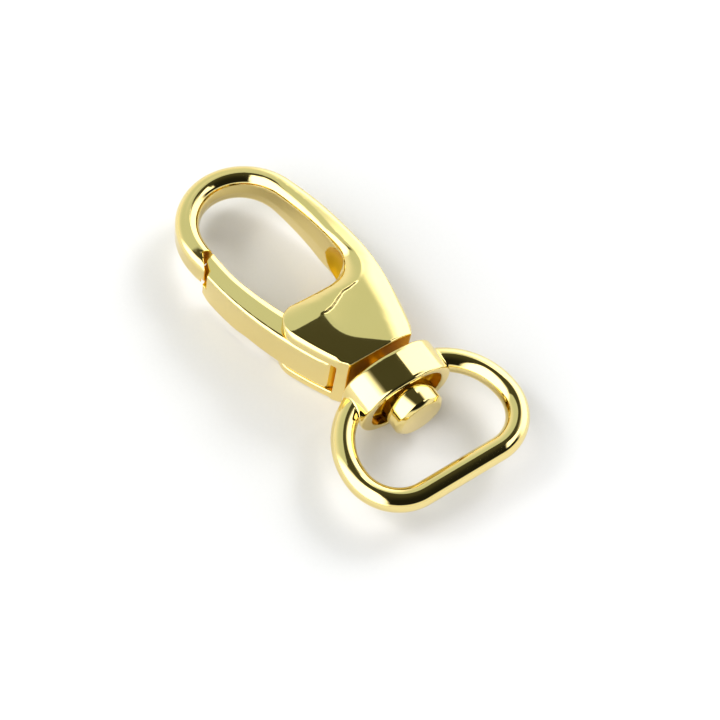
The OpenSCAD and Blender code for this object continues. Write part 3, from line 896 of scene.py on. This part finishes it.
def run_on(bm, edges, way):
    """Extrudes the wire's end straight on, and gives the new end's points and edges."""
    tip = verts_of(bmesh.ops.extrude_edge_only(bm, edges=edges)["geom"])
    bmesh.ops.translate(bm, vec=way, verts=tip)
    return tip + [e for e in bm.edges if e.verts[0] in tip and e.verts[1] in tip]


def bend_on(bm, end, centre, turn):
    """Spins the wire's end round a bend, and gives the new end's edges."""
    made = bmesh.ops.spin(bm, geom=end, cent=(centre[0], centre[1], 0), axis=UPRIGHT,
                          angle=math.radians(turn), steps=WIRE_STEPS)["geom_last"]
    return [item for item in made if isinstance(item, bmesh.types.BMEdge)]


bm = bmesh.new()
middle = Matrix.Translation((BAR_X, 0, 0)) @ Matrix.Rotation(math.radians(90), 4, "X")
bmesh.ops.create_circle(bm, segments=WIRE_SIDES, radius=WIRE_R, matrix=middle)
end = run_on(bm, bm.edges[:], (0, BAR_HALF, 0))
edges = bend_on(bm, end, (BEND_X, BAR_HALF), 90)
end = run_on(bm, edges, (SHOULDER_X - BEND_X, 0, 0))
bend_on(bm, end, shoulder_c, shoulder_turn)
bmesh.ops.mirror(bm, geom=everything(bm), axis="Y", merge_dist=MERGE)
bmesh.ops.remove_doubles(bm, verts=bm.verts, dist=MERGE)
close_ends(bm)
bmesh.ops.recalc_face_normals(bm, faces=bm.faces)
print("wire:", len(bm.faces), "faces, shoulder radius", round(shoulder_r, 2), "mm")

# %% Join and plate the eye
RECESS_RIM, BACK_FACE = 0.1, 0.03
bm.from_mesh(eye.data)
bm.to_mesh(eye.data)
bm.free()
tumble(eye, grit=0.074, passes=4)


# Painted shade in the recess round the post's head and on the barrel's back face
def painted_shade_on_eye(vert):
    p = vert.co
    off_axis = math.hypot(p.y / (RECESS_W / 2 + RECESS_RIM), p.z / (RECESS_H / 2 + RECESS_RIM))
    in_recess = off_axis < 1 and p.x < BARREL_FRONT - RECESS_RIM
    return in_recess or p.x < BARREL_BACK + BACK_FACE


paint_recess_shade(eye, painted_shade_on_eye)
put_in_place(eye, "swivel_eye", "eye", gold_plate)

# %% [markdown]
# ## Paper floor
# The part lies on matt white paper. A plain colour would do at this distance, but a trace of fibre keeps
# the soft shadows from banding.

# %% Floor
FLOOR_HALF = 1.0
# Real fibres are finer, and are drawn at this width so that they can show
FIBRE_MM = 0.3
paper, tree, shader = new_material("white_paper")
where = add_node(tree, "ShaderNodeTexCoord").outputs["Object"]
fibre = add_node(tree, "ShaderNodeTexNoise", Vector=where, Scale=1 / (FIBRE_MM * MM), Detail=2.0)
tint = add_node(tree, "ShaderNodeMix", {"data_type": "RGBA"}, Factor=fibre.outputs["Fac"],
                A=linear("D6D6D7"), B=linear("D9D9DA"))
tree.links.new(result(tint), shader.inputs["Base Color"])
shader.inputs["Roughness"].default_value = 0.9
shader.inputs["Specular IOR Level"].default_value = 0.1
bm = bmesh.new()
bmesh.ops.create_grid(bm, x_segments=1, y_segments=1, size=FLOOR_HALF)
floor_mesh = bpy.data.meshes.new("paper_floor")
bm.to_mesh(floor_mesh)
bm.free()
floor = bpy.data.objects.new("paper_floor", floor_mesh)
floor.data.materials.append(paper)
bpy.context.scene.collection.objects.link(floor)
print("paper floor:", 2 * FLOOR_HALF, "m wide")

# %% [markdown]
# ## Light tent
# Polished metal shows its surroundings more than itself, so they are worked out with care: a pale tent, a
# bright panel on each side and a dark opening overhead. The panels could be planes that glow. Painting
# them on the world with nodes takes no mesh: each is a region of the sky between a few soft edges.

# %% Edges across the tent
# For each edge: the direction that it faces, how far along that it lies, and how soft it is
TENT_EDGES = {
    "strip_left": ((1, 0, 0), -0.352, 0.01),
    "strip_right": ((-1, 0, 0), 0.31, 0.01),
    "strip_front": ((0, 1, 0), 0.425, 0.02),
    "roof_left": ((1, 0, 0), 0.12, 0.03),
    "roof_front": ((0, 1, 0), 0.45, 0.03),
    "roof_low": ((0, 0, 1), 0.6, 0.06),
    "far_rim": ((-0.138, 0.967, 0.215), 0.771, 0.1),
    "near_left": ((0.766, -0.643, 0), 0, 0.12),
    "near_right": ((-0.707, -0.707, 0), 0, 0.12),
    "near_top": ((-0.585, -0.801, -0.131), 0, 0.04),
    "opening_slant": ((0.92, -0.35, 0), -0.485, 0.006),
    "opening_left": ((1, 0, 0), -0.42, 0.015),
    "opening_low": ((0, 0, 1), 0.27, 0.06),
    "wall_fade": ((0, 0, 1), 0.45, 0.3),
    "dark_fade": ((1, 0, 0), 0.1, 0.5),
}
world = bpy.data.worlds.new("light_tent")
bpy.context.scene.world = world
world.use_nodes = True
tree = world.node_tree
tree.nodes.clear()
look = add_node(tree, "ShaderNodeTexCoord").outputs["Generated"]


def side_of(direction, offset, soft):
    """1 on one side of an edge across the tent, 0 on the other."""
    facing = add_node(tree, "ShaderNodeVectorMath", {"operation": "DOT_PRODUCT"}, Vector=look)
    facing.inputs[1].default_value = direction
    ramp = add_node(tree, "ShaderNodeMapRange", {"interpolation_type": "SMOOTHSTEP"},
                    Value=facing.outputs["Value"], From_Min=offset - soft, From_Max=offset + soft)
    return ramp.outputs["Result"]


past = {name: side_of(*edge) for name, edge in TENT_EDGES.items()}
print(len(past), "edges across the tent")

# %% Panels of the tent
FAR_LIGHT, NEAR_LIGHT = (2.3, 2.3, 2.3, 1), (2.9, 2.9, 2.9, 1)
WALL_LOW, WALL_HIGH = (1.02, 1.02, 0.98, 1), (0.68, 0.76, 0.68, 1)
DARK_LEFT, DARK_RIGHT = (0.07, 0.07, 0.04, 1), (0.015, 0.015, 0.01, 1)


def join(operation, a, b):
    """MULTIPLY keeps what two masks share, MAXIMUM what either has."""
    node = add_node(tree, "ShaderNodeMath", {"operation": operation})
    tree.links.new(a, node.inputs[0])
    tree.links.new(b, node.inputs[1])
    return node.outputs["Value"]


def between(*names):
    """The region that lies past all the named edges."""
    mask = past[names[0]]
    for name in names[1:]:
        mask = join("MULTIPLY", mask, past[name])
    return mask


def lay_over(below, above, mask):
    return result(add_node(tree, "ShaderNodeMix", {"data_type": "RGBA"}, Factor=mask, A=below, B=above))


strip = between("strip_left", "strip_right", "strip_front")
roof = join("MULTIPLY", join("MAXIMUM", strip, between("roof_left", "roof_front")), past["roof_low"])
far_panel = join("MAXIMUM", past["far_rim"], roof)
near_panel = between("near_left", "near_right", "near_top")
opening = between("opening_slant", "opening_left", "opening_low")
wall = lay_over(WALL_LOW, WALL_HIGH, past["wall_fade"])
dark = lay_over(DARK_LEFT, DARK_RIGHT, past["dark_fade"])
tent = lay_over(lay_over(wall, dark, opening), FAR_LIGHT, far_panel)
tent = lay_over(tent, NEAR_LIGHT, near_panel)
sky = add_node(tree, "ShaderNodeBackground", Color=tent, Strength=1.0)
add_node(tree, "ShaderNodeOutputWorld", Surface=sky.outputs["Background"])
print("light tent:", len(tree.nodes), "nodes")

# %% [markdown]
# ## Lamps
# Two soft lamps throw the shadows to the left and below. A tent alone gives hardly any shadow, and strong
# lamps alone would give hard ones, so both are used, and the lamps are just strong enough to show on the
# paper. They don't show in the metal, because the panels already stand for what it mirrors.

# %% Lamps
LAMP_AWAY = 0.5
# For each lamp: its direction from the part, its size in metres and its power in watts
LAMPS = {
    "low_lamp": ((-0.15, 0.75, 0.65), 0.15, 0.85),
    "high_lamp": ((-0.5, -0.5, 0.7), 0.12, 0.6),
}
for name, (direction, size, power) in LAMPS.items():
    lamp_data = bpy.data.lights.new(name, "AREA")
    lamp_data.size = size
    lamp_data.energy = power
    lamp = bpy.data.objects.new(name, lamp_data)
    lamp.location = LAMP_AWAY * Vector(direction).normalized()
    lamp.rotation_euler = Vector(direction).to_track_quat("Z", "Y").to_euler()
    lamp.visible_glossy = False
    bpy.context.scene.collection.objects.link(lamp)
    print(name, "of", power, "W")

# %% [markdown]
# ## Camera
# The photo was taken from above with a long lens, and with the part a little turned in the picture. A
# Track To constraint would aim the camera, but it can't roll it. So the camera's three axes are worked
# out from its azimuth, elevation and roll and set as a matrix.

# %% Camera
AZIMUTH, ELEVATION, ROLL = math.radians(44.25), math.radians(60.13), math.radians(12.48)
TARGET, DISTANCE = Vector((3.80, -1.17, 3.25)) * MM, 0.160
LENS, SENSOR_W, CLIP_NEAR = 98.88, 36, 0.001
level = math.cos(ELEVATION)
back = Vector((math.sin(AZIMUTH) * level, -math.cos(AZIMUTH) * level, math.sin(ELEVATION)))
right = Vector((math.cos(AZIMUTH), math.sin(AZIMUTH), 0))
up = back.cross(right)
right, up = math.cos(ROLL) * right + math.sin(ROLL) * up, math.cos(ROLL) * up - math.sin(ROLL) * right
camera_data = bpy.data.cameras.new("camera")
camera_data.lens = LENS
camera_data.sensor_width = SENSOR_W
camera_data.clip_start = CLIP_NEAR
camera = bpy.data.objects.new("camera", camera_data)
axes = Matrix((right, up, back)).transposed().to_4x4()
camera.matrix_world = Matrix.Translation(TARGET + DISTANCE * back) @ axes
bpy.context.scene.collection.objects.link(camera)
bpy.context.scene.camera = camera
bpy.context.scene.view_settings.view_transform = "Standard"
print("camera at", [round(c, 3) for c in camera.matrix_world.translation], "m")
